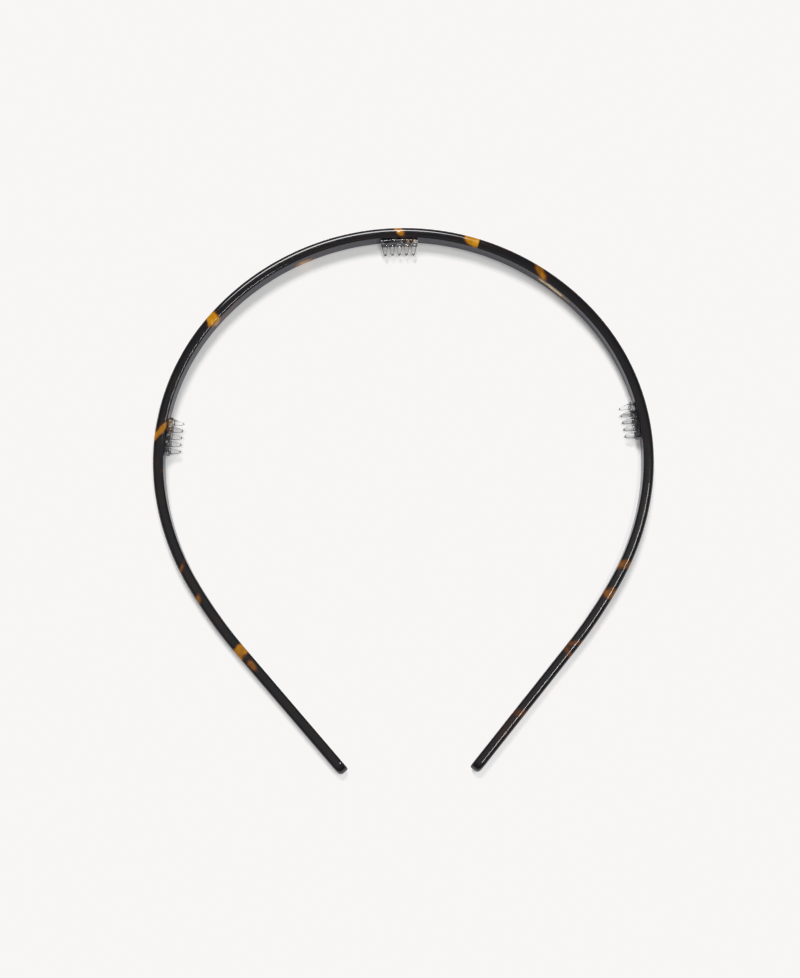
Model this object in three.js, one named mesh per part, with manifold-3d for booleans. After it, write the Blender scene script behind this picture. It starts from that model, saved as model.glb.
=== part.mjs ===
// A narrow headband of polished tortoiseshell sheet, lying on its long edge, with three
// small clear combs bonded inside it. Millimetres, +Z up, +Y towards the crown's middle.
import * as THREE from 'three';
import { mergeVertices } from 'three/addons/utils/BufferGeometryUtils.js';
import Module from 'manifold-3d';

const wasm = await Module();
wasm.setup();

// The strip that the band is bent from.
const THICK = 3;
const WIDE = 6;
const EDGE_ROUND = 0.8;

// The outer face of one side, from the crown's middle to the tip: arcs that run on into
// each other, then a straight leg. "from" and "to" are headings: 0 at the crown, where the
// face runs straight across, 90 where it runs straight down.
const CROWN_ARC = { radius: 72, from: -50, to: 50 };
const ARM_ARCS = [
  { radius: 63.4, from: 50, to: 100 },
  { radius: 72.5, from: 100, to: 120 },
  { radius: 138, from: 120, to: 130 },
];
const LEG = 43.3;

// The sprung joint that stands for the band's bending: a round knuckle on the arm, in a
// hollow in the crown's end.
const KNUCKLE_GAP = 0.3;
const PIVOT_RADIUS = CROWN_ARC.radius - THICK / 2;

// The combs: a plate that follows the band's inner face, with tapered teeth across it.
const GLUE = 0.24;
const BOND_GAP = 0.04;
const PLATE = { length: 10.6, thick: 1, wide: 3.6, round: 0.25 };
const GLUE_MARGIN = 0.4;
const TEETH = { count: 5, pitch: 2.13, length: 3.2, root: 0.87, tip: 0.43, buried: 0.6 };
// How far along the outer face each side's comb is bonded: they are placed by hand.
const RIGHT_COMB_ARC = 96.7;
const LEFT_COMB_ARC = 99;

// How many flat steps stand for each kind of curve.
const STEPS = {
  crown: 16, arm: 8, edge: 3, hollow: 24, tongue: 8, comb: 5, plateEdge: 1, tooth: 14, ball: 4,
};

// How far a cutter reaches past what it cuts, and the leg past its tongue before it is cut.
const CUT_PAST = 1;
const LEG_PAST = 0.1;
const WELD = 1e-4;

const SHELL = { color: 0x1d1816, roughness: 0.12, metalness: 0 };
const CLEAR = { color: 0xeef1f0, roughness: 0.06, metalness: 0 };
const CURED_GLUE = { color: 0xe6e8e4, roughness: 0.15, metalness: 0 };

const degrees = THREE.MathUtils.degToRad;

// The direction out of the band's outer face at a heading.
const outward = (heading) =>
  new THREE.Vector2(Math.sin(degrees(heading)), Math.cos(degrees(heading)));

// Each arc's centre, from the centre and radius of the arc before it.
function armCentres() {
  const centres = [];
  let centre = new THREE.Vector2();
  let radius = CROWN_ARC.radius;
  for (const arc of ARM_ARCS) {
    centre = centre.clone().addScaledVector(outward(arc.from), radius - arc.radius);
    radius = arc.radius;
    centres.push(centre);
  }
  return centres;
}

// A heading as the angle that THREE.Shape's arcs are given.
const arcAngle = (heading) => degrees(90 - heading);

// Adds the part of a circle between two headings, at a distance inside an arc of the band.
function addArc(shape, centre, radius, from, to) {
  shape.absarc(centre.x, centre.y, radius, arcAngle(from), arcAngle(to), from < to);
}

function toSolid(geometry) {
  const bare = geometry.clone();
  bare.deleteAttribute('normal');
  bare.deleteAttribute('uv');
  const merged = mergeVertices(bare, WELD);
  return new wasm.Manifold(new wasm.Mesh({
    numProp: 3,
    vertProperties: new Float32Array(merged.attributes.position.array),
    triVerts: new Uint32Array(merged.index.array),
  }));
}

function toGeometry(solid) {
  const { vertProperties, triVerts } = solid.getMesh();
  const geometry = new THREE.BufferGeometry();
  geometry.setAttribute('position', new THREE.BufferAttribute(vertProperties, 3));
  geometry.setIndex(new THREE.BufferAttribute(triVerts, 1));
  geometry.computeVertexNormals();
  return geometry;
}

// Stands a flat outline up from z = low to z = high, with its long edges rounded.
function standUp(shape, low, high, round, curveSegments, bevelSegments) {
  const geometry = new THREE.ExtrudeGeometry(shape, {
    depth: high - low - 2 * round,
    bevelThickness: round,
    bevelSize: round,
    bevelOffset: -round,
    bevelSegments,
    curveSegments,
  });
  return geometry.translate(0, 0, low + round);
}

const pivotPoint = () => outward(CROWN_ARC.to).multiplyScalar(PIVOT_RADIUS);

// The crown: one arc of the strip, with a round hollow in each end for an arm's knuckle.
function crownGeometry() {
  const outline = new THREE.Shape();
  const centre = new THREE.Vector2();
  addArc(outline, centre, CROWN_ARC.radius, CROWN_ARC.from, CROWN_ARC.to);
  addArc(outline, centre, CROWN_ARC.radius - THICK, CROWN_ARC.to, CROWN_ARC.from);
  const strip = standUp(outline, 0, WIDE, EDGE_ROUND, STEPS.crown, STEPS.edge);

  let solid = toSolid(strip);
  for (const side of [-1, 1]) {
    const radius = THICK / 2 + KNUCKLE_GAP;
    const hollow = new THREE.CylinderGeometry(radius, radius, 2 * WIDE, STEPS.hollow);
    hollow.rotateX(Math.PI / 2);
    hollow.translate(side * pivotPoint().x, pivotPoint().y, WIDE / 2);
    solid = solid.subtract(toSolid(hollow));
  }
  return toGeometry(solid);
}

// The end of the leg's outer face, and the direction in which the leg runs.
function legEnd(centres) {
  const last = ARM_ARCS.length - 1;
  const normal = outward(ARM_ARCS[last].to);
  const along = new THREE.Vector2(normal.y, -normal.x);
  const start = centres[last].clone().addScaledVector(normal, ARM_ARCS[last].radius);
  return { point: start.addScaledVector(along, LEG), normal, along };
}

// What is cut from the leg's square end to leave a half-round tongue: a block with a
// half-round bay in it, standing across the strip.
function tongueCutter({ point, normal, along }) {
  const radius = WIDE / 2;
  const reach = radius + CUT_PAST;
  const bay = new THREE.Shape();
  bay.moveTo(0, -reach);
  bay.lineTo(reach, -reach);
  bay.lineTo(reach, reach);
  bay.lineTo(0, reach);
  bay.absarc(0, 0, radius, Math.PI / 2, -Math.PI / 2, true);
  const cutter = new THREE.ExtrudeGeometry(bay, {
    depth: THICK + 2 * CUT_PAST, bevelEnabled: false, curveSegments: STEPS.tongue,
  });
  cutter.translate(-radius, 0, -CUT_PAST);

  // The bay's x runs along the leg, its y up the strip's width, its depth outwards.
  const up = new THREE.Vector3(0, 0, 1);
  const run = new THREE.Vector3(along.x, along.y, 0);
  const out = new THREE.Vector3(normal.x, normal.y, 0);
  const frame = new THREE.Matrix4().makeBasis(run, up, out.clone().negate());
  frame.setPosition(point.x, point.y, WIDE / 2);
  return cutter.applyMatrix4(frame);
}

// The right arm: a knuckle, three bends and a straight leg with a tongue end.
function rightArmGeometry() {
  const centres = armCentres();
  const end = legEnd(centres);
  const pivot = pivotPoint();
  const outline = new THREE.Shape();
  addArc(outline, pivot, THICK / 2, CROWN_ARC.to - 180, CROWN_ARC.to);
  ARM_ARCS.forEach((arc, i) => addArc(outline, centres[i], arc.radius, arc.from, arc.to));
  const outer = end.point.clone().addScaledVector(end.along, LEG_PAST);
  const inner = outer.clone().addScaledVector(end.normal, -THICK);
  outline.lineTo(outer.x, outer.y);
  outline.lineTo(inner.x, inner.y);
  for (let i = ARM_ARCS.length - 1; i >= 0; i -= 1) {
    const arc = ARM_ARCS[i];
    addArc(outline, centres[i], arc.radius - THICK, arc.to, arc.from);
  }
  const strip = standUp(outline, 0, WIDE, EDGE_ROUND, STEPS.arm, STEPS.edge);
  return toGeometry(toSolid(strip).subtract(toSolid(tongueCutter(end))));
}

// A place on the band's inner face: the arc's centre, the inner radius and the heading.
function sidePlace(distance) {
  const bend = ARM_ARCS[0];
  const crownLength = degrees(CROWN_ARC.to) * CROWN_ARC.radius;
  const turned = THREE.MathUtils.radToDeg((distance - crownLength) / bend.radius);
  return {
    centre: armCentres()[0], radius: bend.radius - THICK, heading: bend.from + turned,
  };
}

const topPlace = () => (
  { centre: new THREE.Vector2(), radius: CROWN_ARC.radius - THICK, heading: 0 });

// A curved plate on the inner face: its outline is the space between two arcs.
function plateOutline(place, depth, thick, length) {
  const outer = place.radius - depth;
  const half = THREE.MathUtils.radToDeg(length / 2 / outer);
  const { centre, heading } = place;
  const outline = new THREE.Shape();
  addArc(outline, centre, outer, heading - half, heading + half);
  addArc(outline, centre, outer - thick, heading + half, heading - half);
  return outline;
}

// One tooth: a tapered round peg with a ball end, along its own y axis from the root.
function toothGeometry() {
  const { length, root, tip, buried } = TEETH;
  const profile = [new THREE.Vector2(0, -buried), new THREE.Vector2(root, -buried)];
  for (let i = 0; i <= STEPS.ball; i += 1) {
    const angle = (i / STEPS.ball) * Math.PI / 2;
    const across = i < STEPS.ball ? tip * Math.cos(angle) : 0;
    profile.push(new THREE.Vector2(across, length - tip + tip * Math.sin(angle)));
  }
  return new THREE.LatheGeometry(profile, STEPS.tooth);
}

function combGeometry(place) {
  const depth = GLUE + 2 * BOND_GAP;
  const low = (WIDE - PLATE.wide) / 2;
  const outline = plateOutline(place, depth, PLATE.thick, PLATE.length);
  const high = low + PLATE.wide;
  let solid = toSolid(standUp(outline, low, high, PLATE.round, STEPS.comb, STEPS.plateEdge));

  const face = place.radius - depth - PLATE.thick;
  const pitchAngle = THREE.MathUtils.radToDeg(TEETH.pitch / face);
  for (let i = 0; i < TEETH.count; i += 1) {
    const heading = place.heading + (i - (TEETH.count - 1) / 2) * pitchAngle;
    const root = outward(heading).multiplyScalar(face).add(place.centre);
    const tooth = toothGeometry();
    tooth.rotateZ(Math.PI - degrees(heading));
    tooth.translate(root.x, root.y, WIDE / 2);
    solid = solid.add(toSolid(tooth));
  }
  return toGeometry(solid);
}

function glueGeometry(place) {
  const low = (WIDE - PLATE.wide) / 2 + GLUE_MARGIN;
  const high = WIDE - low;
  const outline = plateOutline(place, BOND_GAP, GLUE, PLATE.length - 2 * GLUE_MARGIN);
  return new THREE.ExtrudeGeometry(outline, {
    depth: high - low, bevelEnabled: false, curveSegments: STEPS.comb,
  }).translate(0, 0, low);
}

// A piece of the right side, turned into the same piece of the left side.
const mirrored = (geometry) => toGeometry(toSolid(geometry).mirror([1, 0, 0]));

function addMesh(group, name, geometry, look) {
  const mesh = new THREE.Mesh(geometry, new THREE.MeshStandardMaterial(look));
  mesh.name = name;
  group.add(mesh);
}

function buildHeadband() {
  const group = new THREE.Group();
  const rightArm = rightArmGeometry();
  const top = topPlace();
  const right = sidePlace(RIGHT_COMB_ARC);
  const left = sidePlace(LEFT_COMB_ARC);
  addMesh(group, 'band_crown', crownGeometry(), SHELL);
  addMesh(group, 'band_right_arm', rightArm, SHELL);
  addMesh(group, 'band_left_arm', mirrored(rightArm), SHELL);

  addMesh(group, 'comb_top', combGeometry(top), CLEAR);
  addMesh(group, 'comb_right', combGeometry(right), CLEAR);
  addMesh(group, 'comb_left', mirrored(combGeometry(left)), CLEAR);
  addMesh(group, 'glue_top', glueGeometry(top), CURED_GLUE);
  addMesh(group, 'glue_right', glueGeometry(right), CURED_GLUE);
  addMesh(group, 'glue_left', mirrored(glueGeometry(left)), CURED_GLUE);
  return group;
}

// The model's origin is the middle of the space it takes up, at the edge it lies on.
const headband = buildHeadband();
const middle = new THREE.Box3().setFromObject(headband).getCenter(new THREE.Vector3());
headband.position.set(-middle.x, -middle.y, 0);

export default headband;
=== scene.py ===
"""Tortoiseshell acetate headband with three small clear combs bonded inside it.

The band is one strip of sheet on edge. It is made here as two halves that meet at the middle of the
crown. All sizes are in metres, made from millimetres.
"""
import math

import bmesh
import bpy
from mathutils import Matrix, Vector


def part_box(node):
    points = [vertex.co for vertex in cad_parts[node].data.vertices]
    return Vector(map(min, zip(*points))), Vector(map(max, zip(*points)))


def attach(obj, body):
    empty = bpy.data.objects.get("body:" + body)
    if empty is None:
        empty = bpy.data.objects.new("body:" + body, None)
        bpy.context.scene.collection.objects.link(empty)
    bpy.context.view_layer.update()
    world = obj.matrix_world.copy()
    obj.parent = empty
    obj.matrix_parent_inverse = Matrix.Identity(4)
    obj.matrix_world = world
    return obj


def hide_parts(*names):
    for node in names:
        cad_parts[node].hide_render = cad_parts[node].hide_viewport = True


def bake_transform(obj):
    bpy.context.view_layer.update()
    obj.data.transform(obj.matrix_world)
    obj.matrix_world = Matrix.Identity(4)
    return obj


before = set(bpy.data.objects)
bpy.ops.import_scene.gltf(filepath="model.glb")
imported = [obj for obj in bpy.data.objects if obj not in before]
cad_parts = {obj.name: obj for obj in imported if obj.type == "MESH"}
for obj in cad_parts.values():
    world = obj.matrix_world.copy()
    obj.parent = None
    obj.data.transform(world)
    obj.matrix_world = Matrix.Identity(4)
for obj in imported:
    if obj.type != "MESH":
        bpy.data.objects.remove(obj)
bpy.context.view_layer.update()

MM = 0.001

# The strip of sheet, and the arcs it is bent to: outer radius, first and last heading in degrees.
# A heading is the way the strip faces, clockwise from +Y as seen from above.
THICK = 3 * MM
WIDE = 6 * MM
ARCS = ((72 * MM, 0, 50), (63.4 * MM, 50, 100), (72.5 * MM, 100, 120), (138 * MM, 120, 130))
LEG_HEADING = 130
LEG = 43.3 * MM
RING_STEP = 0.5
OUTER_ROUND = 1.2 * MM
INNER_ROUND = 0.6 * MM
EDGE_SEGMENTS = 6
TONGUE_ROUND = 2.9 * MM
TONGUE_SEGMENTS = 14
MERGE = 0.002 * MM
SHARP = math.radians(60)
SMOOTH_UNDER = math.radians(35)

# One comb: a plate bent to the strip's inner face, with five round teeth.
COMB_BEND = 64.7 * MM
COMB_BACK = 0.32 * MM
COMB_THICK = 1.0 * MM
COMB_LOW, COMB_HIGH = 1.2 * MM, 4.8 * MM
TOOTH_HALF = 0.93 * MM
TEETH = 5
TOOTH_PITCH = 2.13 * MM
COMB_END = 0.11 * MM
# Each step of a tooth out from the plate: how much narrower and how much longer, in millimetres.
TOOTH_STEPS = ((0.05, 0.35), (0.14, 1.10), (0.20, 1.10), (0.15, 0.45), (0.20, 0.24))
COMB_CREASE = 0.75
TOOTH_CREASE = 0.25
PLATE_FADE = 0.35 * MM
# Where the side combs are bonded, as distances along the strip from the crown's middle.
RIGHT_COMB_AT, LEFT_COMB_AT = 96.7 * MM, 99 * MM
# How far along a comb, from its middle, the painted view of an amber patch behind its plate starts.
TOP_AMBER_FROM, LEFT_AMBER_FROM, NO_AMBER = 0.9 * MM, 1.0 * MM, 99 * MM
AMBER_FADE = 1.2 * MM

# The clear adhesive between a comb and the strip.
GLUE_FRONT, GLUE_BACK = 0.02 * MM, 0.30 * MM
GLUE_LOW, GLUE_HIGH = 1.45 * MM, 4.6 * MM
GLUE_LENGTH = 9.9 * MM
GLUE_CELLS = 18
GLUE_UNEVEN = 0.11 * MM
# The waves along its edges: how fast each one turns per millimetre, and its shift per piece.
GLUE_WAVES = ((2.3, 1.7), (4.1, 3.74))


# ---------------------------------------------------------------------------------------------
# Places along the strip
# ---------------------------------------------------------------------------------------------

def outward(heading):
    turn = math.radians(heading)
    return Vector((math.sin(turn), math.cos(turn), 0))


def along(heading):
    turn = math.radians(heading)
    return Vector((math.cos(turn), -math.sin(turn), 0))


def arc_centres():
    """The centre of each arc. The first one is found from the top of the CAD crown."""
    crown_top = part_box("band_crown")[1].y
    centre = Vector((0, crown_top - ARCS[0][0], 0))
    centres = [centre]
    for (radius, _, last), (next_radius, _, _) in zip(ARCS, ARCS[1:]):
        centre = centre + outward(last) * (radius - next_radius)
        centres.append(centre)
    return centres


CENTRES = arc_centres()


def place_on_strip(distance):
    """(point on the inner face at z = 0, heading) at this distance along the outer face."""
    for (radius, first, last), centre in zip(ARCS, CENTRES):
        length = radius * math.radians(last - first)
        if distance <= length:
            heading = first + math.degrees(distance / radius)
            return centre + outward(heading) * (radius - THICK), heading
        distance -= length
    radius, _, last = ARCS[-1]
    return CENTRES[-1] + outward(last) * (radius - THICK) + along(last) * distance, last


def strip_coordinates(point):
    """(distance along the outer face, depth below it, height) of a point, in millimetres."""
    side = -1 if point.x < 0 else 1
    flat = Vector((abs(point.x), point.y, 0))
    start = 0
    for (radius, first, last), centre in zip(ARCS, CENTRES):
        away = flat - centre
        heading = math.degrees(math.atan2(away.x, away.y))
        length = radius * math.radians(last - first)
        if heading <= last:
            distance = start + radius * math.radians(heading - first)
            return side * distance / MM, (radius - away.length) / MM, point.z / MM
        start += length
    radius = ARCS[-1][0]
    away = flat - CENTRES[-1]
    distance = start + away.dot(along(LEG_HEADING))
    depth = radius - away.dot(outward(LEG_HEADING))
    return side * distance / MM, depth / MM, point.z / MM


# ---------------------------------------------------------------------------------------------
# Modelling by hand, in edit mode
# ---------------------------------------------------------------------------------------------

def select_nothing():
    """Leaves edit mode and deselects every object."""
    if bpy.context.object and bpy.context.object.mode != "OBJECT":
        bpy.ops.object.mode_set(mode="OBJECT")
    bpy.ops.object.select_all(action="DESELECT")


def only(piece):
    """Makes this the only selected piece."""
    select_nothing()
    piece.select_set(True)
    bpy.context.view_layer.objects.active = piece


def edit(piece):
    only(piece)
    bpy.ops.object.mode_set(mode="EDIT")


def done():
    bpy.ops.object.mode_set(mode="OBJECT")


def pick(piece, kind, wanted):
    """In edit mode, selects only the faces, edges or verts that are wanted."""
    bpy.ops.mesh.select_mode(type=kind)
    bpy.ops.mesh.select_all(action="DESELECT")
    mesh = bmesh.from_edit_mesh(piece.data)
    items = {"FACE": mesh.faces, "EDGE": mesh.edges, "VERT": mesh.verts}[kind]
    for item in items:
        if wanted(item):
            item.select_set(True)
    bmesh.update_edit_mesh(piece.data)


def middle(item):
    points = [vert.co for vert in item.verts]
    return sum(points, Vector()) / len(points)


def is_sharp(edge):
    return len(edge.link_faces) == 2 and edge.calc_face_angle() > SHARP


def standing_section(name, low, high):
    """The outline of a cross-section that stands on the plane x = 0, between two corners."""
    select_nothing()
    centre = (low + high) / 2
    quarter = math.radians(90)
    bpy.ops.mesh.primitive_plane_add(size=1, location=centre, rotation=(0, quarter, 0))
    piece = bpy.context.object
    piece.name = piece.data.name = name
    bpy.ops.object.transform_apply(location=True, rotation=True, scale=True)
    edit(piece)
    bpy.ops.mesh.select_all(action="SELECT")
    size = high - low
    bpy.ops.transform.resize(value=(1, size.y, size.z), center_override=centre)
    bpy.ops.mesh.select_mode(type="EDGE")
    bpy.ops.mesh.delete(type="ONLY_FACE")
    bpy.ops.mesh.select_all(action="SELECT")
    return piece


def spin_on(centre, degrees, steps):
    """Carries the selected outline round a centre, clockwise as seen from above."""
    turn = math.radians(degrees)
    bpy.ops.mesh.spin(steps=steps, dupli=False, angle=turn, center=centre, axis=(0, 0, 1))


def close_open_ends(piece):
    """Puts a face on each open outline, one at a time."""
    while True:
        mesh = bmesh.from_edit_mesh(piece.data)
        start = next((edge for edge in mesh.edges if edge.is_boundary), None)
        if start is None:
            return
        bpy.ops.mesh.select_all(action="DESELECT")
        loop, frontier = {start}, [start]
        while frontier:
            edge = frontier.pop()
            for vert in edge.verts:
                for near in vert.link_edges:
                    if near.is_boundary and near not in loop:
                        loop.add(near)
                        frontier.append(near)
        for edge in loop:
            edge.select_set(True)
        bmesh.update_edit_mesh(piece.data)
        bpy.ops.mesh.edge_face_add()


def tidy_mesh():
    """Merges doubled points and turns every face outwards. In edit mode."""
    bpy.ops.mesh.select_all(action="SELECT")
    bpy.ops.mesh.remove_doubles(threshold=MERGE)
    bpy.ops.mesh.normals_make_consistent(inside=False)


def apply_modifier(piece, kind, **settings):
    only(piece)
    modifier = piece.modifiers.new(kind.lower(), kind)
    for name, value in settings.items():
        setattr(modifier, name, value)
    bpy.ops.object.modifier_apply(modifier=modifier.name)


def subdivide_smooth(piece, levels):
    apply_modifier(piece, "SUBSURF", levels=levels, render_levels=levels)


def copy_of(piece, name):
    made = piece.copy()
    made.data = piece.data.copy()
    made.name = made.data.name = name
    bpy.context.scene.collection.objects.link(made)
    return made


# ---------------------------------------------------------------------------------------------
# The band
# ---------------------------------------------------------------------------------------------

def right_half():
    """The right half of the strip, from the middle of the crown to its half-round end."""
    radius = ARCS[0][0]
    top = CENTRES[0].y + radius
    low, high = Vector((0, top - THICK, 0)), Vector((0, top, WIDE))
    piece = standing_section("band_right_half", low, high)
    for (_, first, last), centre in zip(ARCS, CENTRES):
        spin_on(centre, last - first, round((last - first) / RING_STEP))
    move = {"value": along(LEG_HEADING) * LEG}
    bpy.ops.mesh.extrude_region_move(TRANSFORM_OT_translate=move)
    bpy.ops.mesh.edge_face_add()

    tip = place_on_strip(arcs_length() + LEG)[0]
    end = tip.dot(along(LEG_HEADING))

    def is_end_edge(edge):
        flat = abs(edge.verts[0].co.z - edge.verts[1].co.z) < MERGE
        return flat and all(abs(v.co.dot(along(LEG_HEADING)) - end) < MERGE for v in edge.verts)

    pick(piece, "EDGE", is_end_edge)
    bpy.ops.mesh.bevel(offset=TONGUE_ROUND, segments=TONGUE_SEGMENTS, profile=0.5, affect="EDGES")
    tidy_mesh()
    for depth, rounding in ((0, OUTER_ROUND), (THICK, INNER_ROUND)):
        round_long_edges(piece, depth, rounding)
    close_open_ends(piece)
    tidy_mesh()
    done()
    return piece


def round_long_edges(piece, depth, rounding):
    """Rounds the sharp edges at this depth in the sheet, all the way round the half."""
    def is_long_edge(edge):
        return is_sharp(edge) and abs(strip_coordinates(middle(edge))[1] * MM - depth) < rounding / 4

    pick(piece, "EDGE", is_long_edge)
    bpy.ops.mesh.bevel(
        offset=rounding, segments=EDGE_SEGMENTS, profile=0.5, affect="EDGES",
        clamp_overlap=False,
    )


def arcs_length():
    return sum(radius * math.radians(last - first) for radius, first, last in ARCS)


def left_half(right):
    """The same half, mirrored across the middle of the crown."""
    piece = copy_of(right, "band_left_half")
    edit(piece)
    bpy.ops.mesh.select_all(action="SELECT")
    bpy.ops.transform.resize(value=(-1, 1, 1), center_override=(0, 0, 0))
    tidy_mesh()
    done()
    return piece


def finish_half(piece, side):
    """Smooths a half and marks every point with its place along, into and up the strip."""
    only(piece)
    bpy.ops.object.shade_smooth_by_angle(angle=SMOOTH_UNDER)
    apply_modifier(piece, "WEIGHTED_NORMAL", keep_sharp=True, weight=50)
    mark = piece.data.attributes.new("strip", "FLOAT_VECTOR", "POINT")
    for vert, value in zip(piece.data.vertices, mark.data):
        distance, depth, height = strip_coordinates(vert.co)
        value.vector = (abs(distance) * side, depth, height)


# ---------------------------------------------------------------------------------------------
# The combs and their adhesive, modelled once at x = 0 with the strip's inner face at y = 0
# ---------------------------------------------------------------------------------------------

def comb_cells():
    """Widths of the plate's cells along its length: an end, then teeth and gaps, then an end."""
    gap = TOOTH_PITCH - 2 * TOOTH_HALF
    cells = [COMB_END]
    for number in range(TEETH):
        cells += [2 * TOOTH_HALF, gap]
    cells[-1] = COMB_END
    return cells


def make_comb():
    low = Vector((0, -COMB_BACK - COMB_THICK, COMB_LOW))
    high = Vector((0, -COMB_BACK, COMB_HIGH))
    piece = standing_section("comb", low, high)
    half = (COMB_LOW + COMB_HIGH) / 2
    for height in (half - TOOTH_HALF, half + TOOTH_HALF):
        bpy.ops.mesh.select_all(action="SELECT")
        bpy.ops.mesh.bisect(plane_co=(0, 0, height), plane_no=(0, 0, 1))
    bpy.ops.mesh.select_all(action="SELECT")
    centre = Vector((0, -COMB_BEND, 0))
    for width in comb_cells():
        spin_on(centre, math.degrees(width / COMB_BEND), 1)
    close_open_ends(piece)
    tidy_mesh()

    length = sum(comb_cells())
    turn = Matrix.Rotation(length / 2 / COMB_BEND, 4, "Z")
    bring_back = Matrix.Translation(centre) @ turn @ Matrix.Translation(-centre)
    done()
    piece.data.transform(bring_back)
    edit(piece)

    def is_tooth_root(face):
        inner = face.normal.y < -0.9 and abs(middle(face).z - half) < MERGE
        return inner and face.calc_area() > TOOTH_HALF**2

    pick(piece, "EDGE", is_sharp)
    bpy.ops.transform.edge_crease(value=COMB_CREASE)
    pick(piece, "FACE", is_tooth_root)
    for narrower, longer in TOOTH_STEPS:
        bpy.ops.mesh.inset(thickness=narrower * MM, depth=longer * MM, use_individual=True)

    def is_tooth_corner(edge):
        run = (edge.verts[0].co - edge.verts[1].co).normalized()
        beyond = middle(edge).y < -COMB_BACK - COMB_THICK - 0.1 * MM
        return beyond and abs(run.y) > 0.8

    pick(piece, "EDGE", is_tooth_corner)
    bpy.ops.transform.edge_crease(value=TOOTH_CREASE)
    done()
    subdivide_smooth(piece, 3)
    bpy.ops.object.shade_smooth()
    mark_plate(piece)
    return piece


def make_glue():
    low = Vector((0, -GLUE_BACK, GLUE_LOW))
    high = Vector((0, -GLUE_FRONT, GLUE_HIGH))
    piece = standing_section("glue", low, high)
    centre = Vector((0, -COMB_BEND, 0))
    turn = math.degrees(GLUE_LENGTH / COMB_BEND)
    spin_on(centre, turn, GLUE_CELLS)
    close_open_ends(piece)
    tidy_mesh()
    done()
    back = Matrix.Rotation(math.radians(turn / 2), 4, "Z")
    piece.data.transform(Matrix.Translation(centre) @ back @ Matrix.Translation(-centre))
    return piece


def uneven_glue(piece, seed):
    """Pushes the adhesive's top and bottom edges in and out a little, then rounds it."""
    edit(piece)
    bpy.ops.mesh.select_all(action="SELECT")
    mesh = bmesh.from_edit_mesh(piece.data)
    for vert in mesh.verts:
        place = vert.co.x / MM
        wave = sum(math.sin(place * rate + seed * shift) for rate, shift in GLUE_WAVES)
        outwards = 1 if vert.co.z > (GLUE_LOW + GLUE_HIGH) / 2 else -1
        vert.co.z += outwards * wave * GLUE_UNEVEN
    bmesh.update_edit_mesh(piece.data)
    done()
    subdivide_smooth(piece, 3)
    bpy.ops.object.shade_smooth()


def mark_plate(comb):
    """Marks the comb's plate, where the adhesive's bubbles show and the dark band behind is painted
    in between.
    """
    mark = comb.data.attributes.new("plate", "FLOAT", "POINT")
    front = COMB_BACK + COMB_THICK
    for vert, value in zip(comb.data.vertices, mark.data):
        arc = COMB_BEND - math.hypot(vert.co.x, vert.co.y + COMB_BEND)
        value.value = min(1, max(0, 1 - (arc - front) / PLATE_FADE))


def mark_amber(comb, amber_from):
    """Marks the part of the comb that has one of the band's amber patches behind it, for the painted
    amber view.
    """
    mark = comb.data.attributes.new("amber behind", "FLOAT", "POINT")
    for vert, value in zip(comb.data.vertices, mark.data):
        value.value = min(1, max(0, (vert.co.x - amber_from) / AMBER_FADE))


def carry_to(piece, distance, side):
    """Carries a piece modelled at the crown's middle to its place along the strip."""
    point, heading = place_on_strip(distance)
    turned = Matrix.Rotation(-math.radians(heading) * side, 4, "Z")
    place = Vector((point.x * side, point.y, 0))
    piece.data.transform(Matrix.Translation(place) @ turned)


# ---------------------------------------------------------------------------------------------
# Materials
# ---------------------------------------------------------------------------------------------

def add(tree, kind, inputs=None, **settings):
    """A node with its settings, and its inputs by name or number, linked or set."""
    node = tree.nodes.new(kind)
    for name, value in settings.items():
        setattr(node, name, value)
    for name, value in (inputs or {}).items():
        if isinstance(value, bpy.types.NodeSocket):
            tree.links.new(value, node.inputs[name])
        else:
            node.inputs[name].default_value = value
    return node


def maths(tree, operation, first, second=0.0, third=0.0):
    inputs = {0: first, 1: second, 2: third}
    return add(tree, "ShaderNodeMath", inputs, operation=operation).outputs[0]


def vector_maths(tree, operation, first, second=(0, 0, 0)):
    inputs = {0: first, 1: second}
    return add(tree, "ShaderNodeVectorMath", inputs, operation=operation)


def noise(tree, place, settings):
    return add(tree, "ShaderNodeTexNoise", {"Vector": place, **settings}).outputs[0]


def spread(tree, value, settings, smooth=False):
    """Carries a value from one range to another, straight or with soft ends."""
    kind = "SMOOTHSTEP" if smooth else "LINEAR"
    inputs = {"Value": value, **settings}
    return add(tree, "ShaderNodeMapRange", inputs, interpolation_type=kind).outputs[0]


def mix_colours(tree, share, first, second):
    return add(tree, "ShaderNodeMix", {0: share, 6: first, 7: second}, data_type="RGBA").outputs[2]


def new_group(name, inputs, outputs):
    """An empty node group with named sockets: (tree, its inputs, its output node)."""
    tree = bpy.data.node_groups.new(name, "ShaderNodeTree")
    for label, kind, default in inputs:
        socket = tree.interface.new_socket(name=label, in_out="INPUT", socket_type=kind)
        socket.default_value = default
    for label, kind in outputs:
        tree.interface.new_socket(name=label, in_out="OUTPUT", socket_type=kind)
    return tree, tree.nodes.new("NodeGroupInput").outputs, tree.nodes.new("NodeGroupOutput")


def new_material(name, colour):
    """A material with only the main shader and its output: (material, tree, shader, output)."""
    material = bpy.data.materials.new(name)
    material.use_nodes = True
    material.diffuse_color = (*colour, 1)
    tree = material.node_tree
    tree.nodes.clear()
    shader = tree.nodes.new("ShaderNodeBsdfPrincipled")
    surface = tree.nodes.new("ShaderNodeOutputMaterial")
    tree.links.new(shader.outputs[0], surface.inputs["Surface"])
    return material, tree, shader, surface


FLOAT, VECTOR = "NodeSocketFloat", "NodeSocketVector"
# How softly a trimmed patch ends, in millimetres.
TRIM_FADE = 0.15
# The noise levels between which a polished surface goes from its least to its most roughness.
DULL_FROM, DULL_TO = 0.35, 0.75


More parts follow.
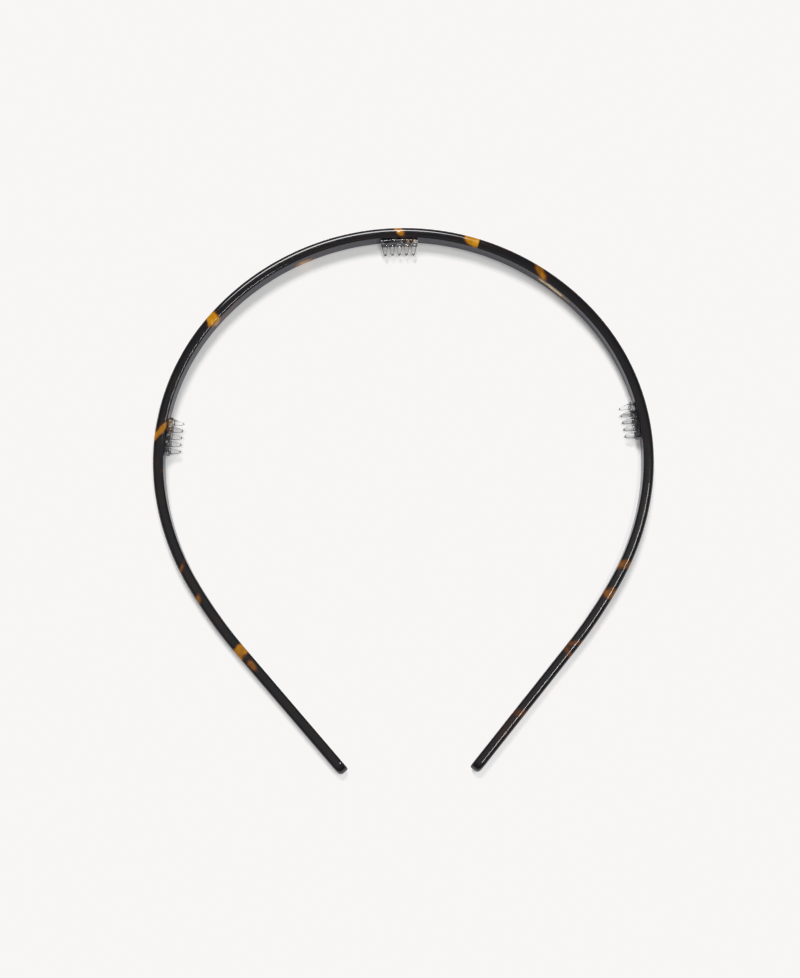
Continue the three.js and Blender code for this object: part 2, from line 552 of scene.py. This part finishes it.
def patch_group():
    """One amber patch in the sheet: a soft-edged lens that may lean as it goes into the sheet."""
    tree, given, out = new_group(
        "amber patch",
        (
            ("Strip", VECTOR, (0, 0, 0)),
            ("Middle", VECTOR, (0, 0, 0)),
            ("Half Size", VECTOR, (1, 1, 1)),
            ("Lean", FLOAT, 0.0),
            ("Sweep", FLOAT, 0.0),
            ("Trim", FLOAT, 99.0),
            ("Strength", FLOAT, 1.0),
            ("Softness", FLOAT, 0.2),
            ("Ragged", FLOAT, 0.0),
        ),
        (("Amber", FLOAT),),
    )
    offset = vector_maths(tree, "SUBTRACT", given["Strip"], given["Middle"]).outputs[0]
    parts = add(tree, "ShaderNodeSeparateXYZ", {0: offset}).outputs
    leaning = maths(tree, "MULTIPLY", parts["Y"], given["Lean"])
    sweeping = maths(tree, "MULTIPLY", parts["Z"], given["Sweep"])
    straight = maths(tree, "SUBTRACT", parts["X"], leaning)
    straight = maths(tree, "SUBTRACT", straight, sweeping)
    upright = add(tree, "ShaderNodeCombineXYZ", {"X": straight, "Y": parts["Y"], "Z": parts["Z"]})
    scaled = vector_maths(tree, "DIVIDE", upright.outputs[0], given["Half Size"]).outputs[0]
    reach = vector_maths(tree, "LENGTH", scaled).outputs["Value"]
    reach = maths(tree, "ADD", reach, given["Ragged"])
    start = maths(tree, "ADD", 1.0, given["Softness"])
    full = maths(tree, "SUBTRACT", 1.0, given["Softness"])
    fading = {"From Min": start, "From Max": full, "To Max": given["Strength"]}
    level = spread(tree, reach, fading, smooth=True)
    over = maths(tree, "SUBTRACT", straight, given["Trim"])
    kept = spread(tree, over, {"From Min": TRIM_FADE, "From Max": -TRIM_FADE}, smooth=True)
    amber = maths(tree, "MULTIPLY", level, kept)
    tree.links.new(amber, out.inputs["Amber"])
    return tree


def polish_group():
    """What polishing and handling leave on a plastic surface: faint waves and dull specks."""
    tree, given, out = new_group(
        "polished plastic",
        (
            ("Place", VECTOR, (0, 0, 0)),
            ("Wave Scale", FLOAT, 120.0),
            ("Dull Scale", FLOAT, 900.0),
            ("Least Roughness", FLOAT, 0.1),
            ("Most Roughness", FLOAT, 0.2),
        ),
        (("Roughness", FLOAT), ("Height", FLOAT)),
    )
    height = noise(tree, given["Place"], {"Scale": given["Wave Scale"], "Detail": 1.0})
    specks = noise(tree, given["Place"], {"Scale": given["Dull Scale"], "Detail": 3.0})
    dulling = {
        "From Min": DULL_FROM, "From Max": DULL_TO,
        "To Min": given["Least Roughness"], "To Max": given["Most Roughness"],
    }
    roughness = spread(tree, specks, dulling)
    tree.links.new(roughness, out.inputs["Roughness"])
    tree.links.new(height, out.inputs["Height"])
    return tree


def polished(tree, shader, polish, place, settings, depth):
    """Gives a shader the polish group's roughness, and its waves at this depth in metres."""
    finish = add(tree, "ShaderNodeGroup", {"Place": place, **settings}, node_tree=polish)
    tree.links.new(finish.outputs["Roughness"], shader.inputs["Roughness"])
    bump = add(tree, "ShaderNodeBump", {"Height": finish.outputs["Height"], "Distance": depth})
    tree.links.new(bump.outputs[0], shader.inputs["Normal"])


# Amber patches: (distance, depth, height), half sizes, lean, sweep, trim, strength, softness.
# Distances are along the outer face from the crown's middle, right positive, in millimetres.
NO_TRIM = 99
PATCHES = (
    # right side, seen from above
    ((-0.1, 0.9, 6.0), (1.3, 1.9, 2.5), 0.6, 0.2, NO_TRIM, 0.86, 0.24),
    ((2.9, 3.2, 3.0), (1.7, 1.2, 2.6), 0.3, -0.4, NO_TRIM, 0.62, 0.35),
    ((22.0, 0.6, 6.0), (3.0, 2.6, 3.2), 0.0, 0.1, 1.5, 1.00, 0.12),
    ((43.3, 1.5, 6.0), (1.7, 2.8, 4.0), 0.75, -0.3, NO_TRIM, 0.62, 0.20),
    ((44.5, 2.3, 6.0), (1.2, 1.3, 3.0), 0.75, -0.3, NO_TRIM, 0.86, 0.35),
    ((48.8, 3.2, 3.7), (5.6, 1.3, 1.3), 0.0, -1.0, NO_TRIM, 1.42, 0.14),
    ((140.6, 1.8, 6.0), (1.5, 3.2, 4.0), 0.4, 0.2, NO_TRIM, 0.53, 0.24),
    ((149.0, 0.4, 6.0), (1.6, 3.0, 4.0), 0.45, 0.1, NO_TRIM, 0.53, 0.22),
    ((166.4, 1.3, 6.0), (0.9, 2.8, 3.5), 0.9, 0.2, NO_TRIM, 0.46, 0.35),
    ((169.6, 1.4, 6.0), (1.0, 2.8, 3.5), -0.3, -0.2, NO_TRIM, 0.46, 0.35),
    ((191.0, 0.9, 6.0), (1.6, 2.2, 3.0), 0.4, 0.3, NO_TRIM, 0.40, 0.40),
    ((195.0, 1.5, 6.0), (4.2, 2.4, 3.0), 0.2, 0.2, NO_TRIM, 0.17, 0.60),
    # left side, seen from above
    ((-29.6, 3.1, 1.6), (2.6, 0.8, 2.2), 0.0, -0.2, NO_TRIM, 1.20, 0.40),
    ((-61.7, 1.9, 6.0), (2.0, 2.3, 4.2), -0.2, -0.25, NO_TRIM, 1.00, 0.13),
    ((-56.5, 3.2, 3.2), (4.2, 0.8, 1.8), 0.0, 0.9, NO_TRIM, 0.52, 0.40),
    ((-98.2, 1.5, 6.0), (1.4, 4.2, 5.0), 1.25, -0.25, NO_TRIM, 0.80, 0.22),
    ((-93.6, 3.2, 3.2), (1.9, 0.9, 2.2), 0.0, -0.3, NO_TRIM, 0.80, 0.30),
    ((-109.9, 2.9, 6.0), (0.8, 0.8, 1.6), 0.0, 0.0, NO_TRIM, 0.30, 0.40),
    ((-138.6, 0.9, 6.0), (0.9, 1.8, 3.5), 0.75, 0.2, NO_TRIM, 0.54, 0.30),
    ((-148.8, 0.4, 6.0), (1.2, 1.3, 4.0), 0.9, 0.1, NO_TRIM, 0.62, 0.25),
    ((-167.6, 1.1, 6.0), (2.2, 3.4, 5.0), 0.15, 0.2, NO_TRIM, 0.86, 0.16),
    ((-172.4, 1.4, 6.0), (1.9, 0.8, 3.0), 0.2, 0.2, NO_TRIM, 0.54, 0.24),
    # lower down, on the outer and inner faces
    ((-12.0, 0.2, 1.8), (3.6, 1.5, 1.7), 0.5, 0.9, NO_TRIM, 0.70, 0.25),
    ((11.5, 0.0, 1.2), (2.4, 1.2, 1.6), 0.3, -0.8, NO_TRIM, 0.55, 0.30),
    ((33.5, 0.4, 1.7), (3.0, 2.2, 1.9), 0.4, 0.7, NO_TRIM, 0.85, 0.20),
    ((-45.5, 0.2, 2.0), (3.2, 1.4, 2.0), -0.3, -0.8, NO_TRIM, 0.60, 0.30),
    ((-77.0, 0.3, 1.6), (2.6, 2.4, 2.0), 0.4, 0.7, NO_TRIM, 0.90, 0.18),
    ((72.0, 0.2, 2.2), (3.4, 1.6, 1.9), 0.3, 0.9, NO_TRIM, 0.70, 0.25),
    ((88.5, 0.0, 1.0), (2.0, 1.4, 1.8), 0.2, -0.6, NO_TRIM, 0.50, 0.30),
    ((108.0, 0.4, 1.8), (2.8, 2.2, 2.0), 0.5, 0.8, NO_TRIM, 0.88, 0.20),
    ((124.0, 0.2, 2.4), (2.4, 1.3, 1.7), -0.3, -0.7, NO_TRIM, 0.55, 0.30),
    ((-121.5, 0.2, 1.6), (3.2, 2.0, 1.9), 0.4, 0.9, NO_TRIM, 0.75, 0.22),
    ((-155.0, 0.4, 1.8), (2.6, 1.8, 2.0), 0.3, -0.8, NO_TRIM, 0.60, 0.28),
    ((158.5, 0.2, 1.8), (2.6, 1.8, 1.8), 0.4, 0.8, NO_TRIM, 0.66, 0.25),
    ((181.0, 0.4, 2.0), (2.8, 2.0, 1.9), 0.3, -0.7, NO_TRIM, 0.80, 0.20),
    ((-186.0, 0.3, 2.2), (3.0, 1.8, 1.9), 0.3, 0.7, NO_TRIM, 0.72, 0.25),
)
# All the patches' strengths and softnesses are turned up or down together by these.
GOLD = 0.80
SOFTER = 2.3
# How far the noise moves a patch's edge in and out, as a share of the patch.
RAGGED = 1.5
RAGGED_NOISE = {"Scale": 0.33, "Detail": 2.0, "Roughness": 0.45}
# The clouds that thin the amber here and there.
CLOUD_NOISE = {"Scale": 0.6, "Detail": 2.0, "Roughness": 0.5}
CLOUDS = {"From Min": 0.3, "From Max": 0.7, "To Min": 0.80, "To Max": 1.06}
# The faint brown streaks in the black, drawn out along the strip.
BROWN_STRETCH = (0.3, 1, 1)
BROWN_NOISE = {"Scale": 0.5, "Detail": 4.0, "Roughness": 0.6}
BROWN = {"From Min": 0.48, "From Max": 0.75, "To Max": 0.13}
AMBER_COLOURS = (
    (0.00, (0.0080, 0.0077, 0.0092)),
    (0.16, (0.0220, 0.0100, 0.0060)),
    (0.34, (0.0900, 0.0270, 0.0050)),
    (0.52, (0.2300, 0.0850, 0.0050)),
    (0.70, (0.4000, 0.1600, 0.0020)),
    (0.85, (0.5500, 0.2450, 0.0020)),
    (1.00, (0.8000, 0.6200, 0.2800)),
)


ACETATE_LOOKS = (0.05, 0.03, 0.02)
ACETATE_IOR = 1.48
ACETATE_WAVES = 0.005 * MM
ACETATE_POLISH = {
    "Wave Scale": 0.16, "Dull Scale": 0.5, "Least Roughness": 0.055, "Most Roughness": 0.09,
}


def patches_in_sheet(tree, patch, strip):
    """How amber the sheet is at each place: the strongest of all the patches there."""
    ragged = noise(tree, strip, RAGGED_NOISE)
    ragged = maths(tree, "MULTIPLY_ADD", ragged, RAGGED, -RAGGED / 2)
    amber = None
    for place, half, lean, sweep, trim, strength, softness in PATCHES:
        values = {
            "Strip": strip, "Middle": place, "Half Size": half, "Lean": lean, "Sweep": sweep,
            "Trim": trim, "Strength": strength * GOLD, "Softness": softness * SOFTER,
            "Ragged": ragged,
        }
        level = add(tree, "ShaderNodeGroup", values, node_tree=patch).outputs[0]
        amber = level if amber is None else maths(tree, "MAXIMUM", amber, level)
    return amber


def tortoiseshell(patch, polish):
    """Black acetate with amber patches that go down into the sheet."""
    material, tree, shader, _ = new_material("tortoiseshell acetate", ACETATE_LOOKS)
    strip = add(tree, "ShaderNodeAttribute", attribute_name="strip").outputs["Vector"]
    amber = patches_in_sheet(tree, patch, strip)
    thinner = spread(tree, noise(tree, strip, CLOUD_NOISE), CLOUDS)
    amber = maths(tree, "MULTIPLY", amber, thinner)
    streaks = vector_maths(tree, "MULTIPLY", strip, BROWN_STRETCH).outputs[0]
    brown = spread(tree, noise(tree, streaks, BROWN_NOISE), BROWN)
    amber = maths(tree, "ADD", amber, brown)

    ramp = add(tree, "ShaderNodeValToRGB", {0: amber})
    stops = ramp.color_ramp.elements
    while len(stops) < len(AMBER_COLOURS):
        stops.new(0.5)
    for stop, (position, colour) in zip(stops, AMBER_COLOURS):
        stop.position = position
        stop.color = (*colour, 1)
    tree.links.new(ramp.outputs[0], shader.inputs["Base Color"])
    polished(tree, shader, polish, strip, ACETATE_POLISH, ACETATE_WAVES)
    shader.inputs["IOR"].default_value = ACETATE_IOR
    return material


# The clear comb, and the painted view of the dark band and its amber through its bonded plate.
COMB_TINT = (0.98, 0.985, 0.98)
COMB_IOR = 1.53
COMB_WAVES = 0.02 * MM
COMB_POLISH = {
    "Wave Scale": 500, "Dull Scale": 2000, "Least Roughness": 0.02, "Most Roughness": 0.05,
}
# Painted view through the bonded plate: the dark band and its amber patches put into the clear
# plastic's colour. The dark one also colours the painted dark rims.
PAINTED_DARK_SEEN_THROUGH = (0.03, 0.03, 0.035)
PAINTED_AMBER_SEEN_THROUGH = (0.45, 0.20, 0.06)
BUBBLES = {"Scale": 950, "Detail": 1.5, "Distortion": 0.6}
# Where this noise is low the painted view of the band fills the plate; elsewhere it stays clear,
# like bubbles.
PAINTED_BAND_BETWEEN_BUBBLES = {"From Min": 0.57, "From Max": 0.54}
AMBER_SPECKS = {"Scale": 900, "Detail": 1.0}
PAINTED_AMBER_SHARE = {"From Min": 0.40, "From Max": 0.55}
# How far a face turns from the eye before the comb's edge goes dark: a painted dark rim, standing in
# for dark surroundings seen through its edges.
PAINTED_DARK_RIM = {"From Min": 0.42, "From Max": 0.72}

# The adhesive.
GLUE_TINT = (0.55, 0.55, 0.53)
GLUE_IOR = 1.46
GLUE_RIPPLES = 0.06 * MM
GLUE_POLISH = {
    "Wave Scale": 1500, "Dull Scale": 6000, "Least Roughness": 0.05, "Most Roughness": 0.2,
}

# The share of the lamps' light that clear pieces let straight through.
LAMPS_THROUGH = 0.08


def lets_lamps_through(tree, shader, surface):
    """Lets a share of the lamps' light straight through, so that a clear piece's shadow is pale."""
    shadow = add(tree, "ShaderNodeLightPath").outputs["Is Shadow Ray"]
    share = maths(tree, "MULTIPLY", shadow, LAMPS_THROUGH)
    open_air = add(tree, "ShaderNodeBsdfTransparent")
    inputs = {0: share, 1: shader.outputs[0], 2: open_air.outputs[0]}
    mixed = add(tree, "ShaderNodeMixShader", inputs)
    tree.links.new(mixed.outputs[0], surface.inputs["Surface"])


def clear_material(name, polish, tint, ior, settings, depth):
    """A clear material with moulding waves: (material, tree, shader, place)."""
    material, tree, shader, surface = new_material(name, tint)
    place = add(tree, "ShaderNodeTexCoord").outputs["Object"]
    polished(tree, shader, polish, place, settings, depth)
    shader.inputs["Base Color"].default_value = (*tint, 1)
    shader.inputs["IOR"].default_value = ior
    shader.inputs["Transmission Weight"].default_value = 1.0
    lets_lamps_through(tree, shader, surface)
    return material, tree, shader, place


def comb_plastic(polish):
    """Clear plastic. Where the plate is bonded, the dark band and any amber behind it are painted
    into its colour between bubbles, as a painted view through it.
    """
    material, tree, shader, place = clear_material(
        "clear comb plastic", polish, COMB_TINT, COMB_IOR, COMB_POLISH, COMB_WAVES,
    )
    # Painted view through the plate: the dark band and its amber, put into the clear plastic's
    # colour.
    clear, dark, warm = (*COMB_TINT, 1), (*PAINTED_DARK_SEEN_THROUGH, 1), (*PAINTED_AMBER_SEEN_THROUGH, 1)
    plate = add(tree, "ShaderNodeAttribute", attribute_name="plate").outputs["Fac"]
    behind = add(tree, "ShaderNodeAttribute", attribute_name="amber behind").outputs["Fac"]
    amber = spread(tree, noise(tree, place, AMBER_SPECKS), PAINTED_AMBER_SHARE)
    amber = maths(tree, "MULTIPLY", amber, behind)
    painted_view_through = mix_colours(tree, amber, dark, warm)
    painted_band_share = spread(tree, noise(tree, place, BUBBLES), PAINTED_BAND_BETWEEN_BUBBLES, smooth=True)
    painted_band_share = maths(tree, "MULTIPLY", painted_band_share, plate)
    colour = mix_colours(tree, painted_band_share, clear, painted_view_through)
    # Painted dark rim: edges turned from the eye are darkened in the colour, standing in for dark
    # surroundings seen through them.
    facing = add(tree, "ShaderNodeLayerWeight", {"Blend": 0.5}).outputs["Facing"]
    edge = spread(tree, facing, PAINTED_DARK_RIM, smooth=True)
    colour = mix_colours(tree, edge, colour, dark)
    tree.links.new(colour, shader.inputs["Base Color"])
    return material


def cured_adhesive(polish):
    return clear_material(
        "cured clear adhesive", polish, GLUE_TINT, GLUE_IOR, GLUE_POLISH, GLUE_RIPPLES,
    )[0]


def bend_with_arm(piece):
    """Bakes the piece's place into its mesh, at the world's origin."""
    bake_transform(piece)


def dress(piece, material):
    piece.data.materials.clear()
    piece.data.materials.append(material)


# ---------------------------------------------------------------------------------------------
# Floor, light and camera
# ---------------------------------------------------------------------------------------------

FLOOR_SIZE = 60.0
FLOOR_COLOUR = (0.92, 0.915, 0.91)
FLOOR_GRAIN = {"Scale": 900, "Detail": 2.0}
FLOOR_GRAIN_DEPTH = 0.01 * MM
FLOOR_ROUGHNESS, FLOOR_SHINE = 0.9, 0.1
PAPER_WHITE = (0.939, 0.922, 0.913)
TONE_KNEE = 0.80

# The main softbox: heading, angle from straight up, angular radius, and brightness.
MAIN_LIGHT = ("main softbox", -10, 32, 11.5, 19)
# The strip softbox beside it: its middle, width, length and brightness.
STRIP_PLACE = Vector((0.68, -0.01, 3.0))
STRIP_TURN = -16
STRIP_WIDTH, STRIP_LENGTH, STRIP_BRIGHTNESS = 0.15, 0.92, 44
CEILING, WALLS, SEEN_WALLS = 0.45, 0.10, 1.3
# How far up the sky, as the way's z, the walls end and the full ceiling starts.
WALLS_TO, CEILING_FROM = 0.5, 0.95
# The ceiling darkens beyond the crown, between these values of the way's y, to this share.
FAR_FROM, FAR_TO, FAR_CEILING = 0.14, 0.28, 0.35
# The paper glows a little, like a light table; the extra glow towards the band's open end is painted
# light that lifts the shadows there.
CROWN_GLOW, OPEN_END_PAINTED_LIGHT = 0.16, 0.40
GLOW_FROM, GLOW_TO = -0.02, -0.06
# Glossy faces mirror this share of the floor's light, and in place of the rest a painted cool
# reflection that stands in for the room.
FLOOR_IN_REFLECTIONS = 0.72
PAINTED_COOL_REFLECTION = (0.03, 0.03, 0.15)


def make_floor():
    select_nothing()
    bpy.ops.mesh.primitive_plane_add(size=FLOOR_SIZE, location=(0, 0, 0))
    floor = bpy.context.object
    floor.name = "floor"
    material, tree, shader, surface = new_material("floor paper", FLOOR_COLOUR)
    place = add(tree, "ShaderNodeTexCoord").outputs["Object"]
    grain = noise(tree, place, FLOOR_GRAIN)
    bump = add(tree, "ShaderNodeBump", {"Height": grain, "Distance": FLOOR_GRAIN_DEPTH})
    tree.links.new(bump.outputs[0], shader.inputs["Normal"])
    shader.inputs["Base Color"].default_value = (*FLOOR_COLOUR, 1)
    shader.inputs["Roughness"].default_value = FLOOR_ROUGHNESS
    shader.inputs["Specular IOR Level"].default_value = FLOOR_SHINE
    shader.inputs["Emission Color"].default_value = (*FLOOR_COLOUR, 1)
    # Painted light: the paper glows more towards the open end, lifting the shadows of the legs
    # there.
    way = add(tree, "ShaderNodeSeparateXYZ", {0: place}).outputs["Y"]
    rise = {
        "From Min": GLOW_FROM, "From Max": GLOW_TO, "To Min": CROWN_GLOW, "To Max": OPEN_END_PAINTED_LIGHT,
    }
    glow = spread(tree, way, rise, smooth=True)
    tree.links.new(glow, shader.inputs["Emission Strength"])
    # Painted reflection: reflections see the floor dimmed, with a cool glow in its place that only
    # they see.
    path = add(tree, "ShaderNodeLightPath").outputs
    not_through = maths(tree, "SUBTRACT", 1.0, path["Is Transmission Ray"])
    mirrored = maths(tree, "MULTIPLY", path["Is Glossy Ray"], not_through)
    dimmed = maths(tree, "MULTIPLY", mirrored, 1 - FLOOR_IN_REFLECTIONS)
    cool = add(tree, "ShaderNodeEmission", {"Color": (*PAINTED_COOL_REFLECTION, 1)})
    inputs = {0: dimmed, 1: shader.outputs[0], 2: cool.outputs[0]}
    mixed = add(tree, "ShaderNodeMixShader", inputs)
    tree.links.new(mixed.outputs[0], surface.inputs["Surface"])
    floor.data.materials.append(material)


def make_light(name, heading, from_top, radius, brightness):
    """A round softbox far away, given as a sun that covers the same part of the sky."""
    light = bpy.data.lights.new(name, "SUN")
    light.angle = math.radians(2 * radius)
    light.energy = brightness * math.pi * math.sin(math.radians(radius)) ** 2
    lamp = bpy.data.objects.new(name, light)
    bpy.context.scene.collection.objects.link(lamp)
    tilt = math.radians(from_top)
    towards = outward(heading) * math.sin(tilt) + Vector((0, 0, math.cos(tilt)))
    lamp.rotation_mode = "QUATERNION"
    lamp.rotation_quaternion = towards.to_track_quat("Z", "Y")
    lamp.location = towards


def make_strip_light():
    """A long softbox overhead, to the right of the band."""
    light = bpy.data.lights.new("strip softbox", "AREA")
    light.shape = "RECTANGLE"
    light.size = STRIP_WIDTH
    light.size_y = STRIP_LENGTH
    light.energy = 4 * STRIP_BRIGHTNESS * STRIP_WIDTH * STRIP_LENGTH
    lamp = bpy.data.objects.new("strip softbox", light)
    bpy.context.scene.collection.objects.link(lamp)
    lamp.location = STRIP_PLACE
    lean = math.atan2(STRIP_PLACE.x, STRIP_PLACE.z)
    lamp.rotation_euler = (0, lean, math.radians(STRIP_TURN))


def make_world():
    """A dim room: its ceiling and walls light the object, and the camera sees white walls."""
    world = bpy.data.worlds.new("studio")
    bpy.context.scene.world = world
    world.use_nodes = True
    tree = world.node_tree
    tree.nodes.clear()
    way = add(tree, "ShaderNodeTexCoord").outputs["Generated"]
    way = add(tree, "ShaderNodeSeparateXYZ", {0: way}).outputs
    rise = {"From Min": WALLS_TO, "From Max": CEILING_FROM, "To Min": WALLS, "To Max": CEILING}
    glow = spread(tree, way["Z"], rise)
    fall = {"From Min": FAR_FROM, "From Max": FAR_TO, "To Min": 1.0, "To Max": FAR_CEILING}
    glow = maths(tree, "MULTIPLY", glow, spread(tree, way["Y"], fall))
    seen = add(tree, "ShaderNodeLightPath").outputs["Is Camera Ray"]
    strength = add(tree, "ShaderNodeMix", {0: seen, 2: glow, 3: SEEN_WALLS}).outputs[0]
    back = add(tree, "ShaderNodeBackground", {"Color": (1, 1, 1, 1), "Strength": strength})
    out = add(tree, "ShaderNodeOutputWorld", {"Surface": back.outputs[0]})
    out.is_active_output = True


def set_tones():
    """Plain tones, with the whites held at the floor's paper white."""
    view = bpy.context.scene.view_settings
    view.view_transform = "Standard"
    view.use_curve_mapping = True
    curves = view.curve_mapping
    curves.extend = "HORIZONTAL"
    for curve, white in zip(curves.curves, PAPER_WHITE):
        knee = curve.points.new(TONE_KNEE, TONE_KNEE)
        knee.handle_type = "VECTOR"
        curve.points[0].handle_type = "VECTOR"
        curve.points[-1].location = (1.0, white)
    curves.update()


# The camera's tilt from straight down, towards the open end, and its roll, in degrees.
CAMERA_TILT = 8.88
CAMERA_ROLL = -1.06
CAMERA_DISTANCE = 503 * MM
CAMERA_AIM = Vector((-1.08, 2.46, 0)) * MM
CAMERA_LENS = 65.81
CAMERA_SENSOR = 36


def make_camera():
    data = bpy.data.cameras.new("camera")
    data.lens = CAMERA_LENS
    data.sensor_width = CAMERA_SENSOR
    camera = bpy.data.objects.new("camera", data)
    bpy.context.scene.collection.objects.link(camera)
    tilt = math.radians(CAMERA_TILT)
    away = Vector((0, -math.sin(tilt), math.cos(tilt)))
    camera.location = CAMERA_AIM + away * CAMERA_DISTANCE
    camera.rotation_mode = "ZYX"
    camera.rotation_euler = (tilt, 0, math.radians(CAMERA_ROLL))
    bpy.context.scene.camera = camera


# ---------------------------------------------------------------------------------------------
# Putting it together
# ---------------------------------------------------------------------------------------------

def make_band(shell):
    """The two halves of the strip. The right one stands for the CAD crown too."""
    right = right_half()
    left = left_half(right)
    for half, side, arm, stands_for in (
        (right, 1, "right_arm", ("band_crown", "band_right_arm")),
        (left, -1, "left_arm", ("band_left_arm",)),
    ):
        finish_half(half, side)
        dress(half, shell)
        bend_with_arm(half)
        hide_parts(*stands_for)


def make_combs(comb_clear, glue_clear):
    """The three combs and their adhesive. The top comb and its adhesive are attached to the crown's
    body.
    """
    comb_model = make_comb()
    glue_model = make_glue()
    for place, distance, side, body, amber_from in (
        ("top", 0, 1, "crown", TOP_AMBER_FROM),
        ("right", RIGHT_COMB_AT, 1, "right_arm", NO_AMBER),
        ("left", LEFT_COMB_AT, -1, "left_arm", LEFT_AMBER_FROM),
    ):
        comb = copy_of(comb_model, f"clear_comb_{place}")
        mark_amber(comb, amber_from)
        carry_to(comb, distance, side)
        dress(comb, comb_clear)
        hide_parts(f"comb_{place}")

        glue = copy_of(glue_model, f"adhesive_{place}")
        uneven_glue(glue, len(place))
        carry_to(glue, distance, side)
        dress(glue, glue_clear)
        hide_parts(f"glue_{place}")

        for piece in (comb, glue):
            if body == "crown":
                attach(piece, body)
            else:
                bend_with_arm(piece)

    bpy.data.objects.remove(comb_model)
    bpy.data.objects.remove(glue_model)


make_camera()
make_floor()
make_world()
set_tones()
make_light(*MAIN_LIGHT)
make_strip_light()

polish = polish_group()
make_band(tortoiseshell(patch_group(), polish))
make_combs(comb_plastic(polish), cured_adhesive(polish))
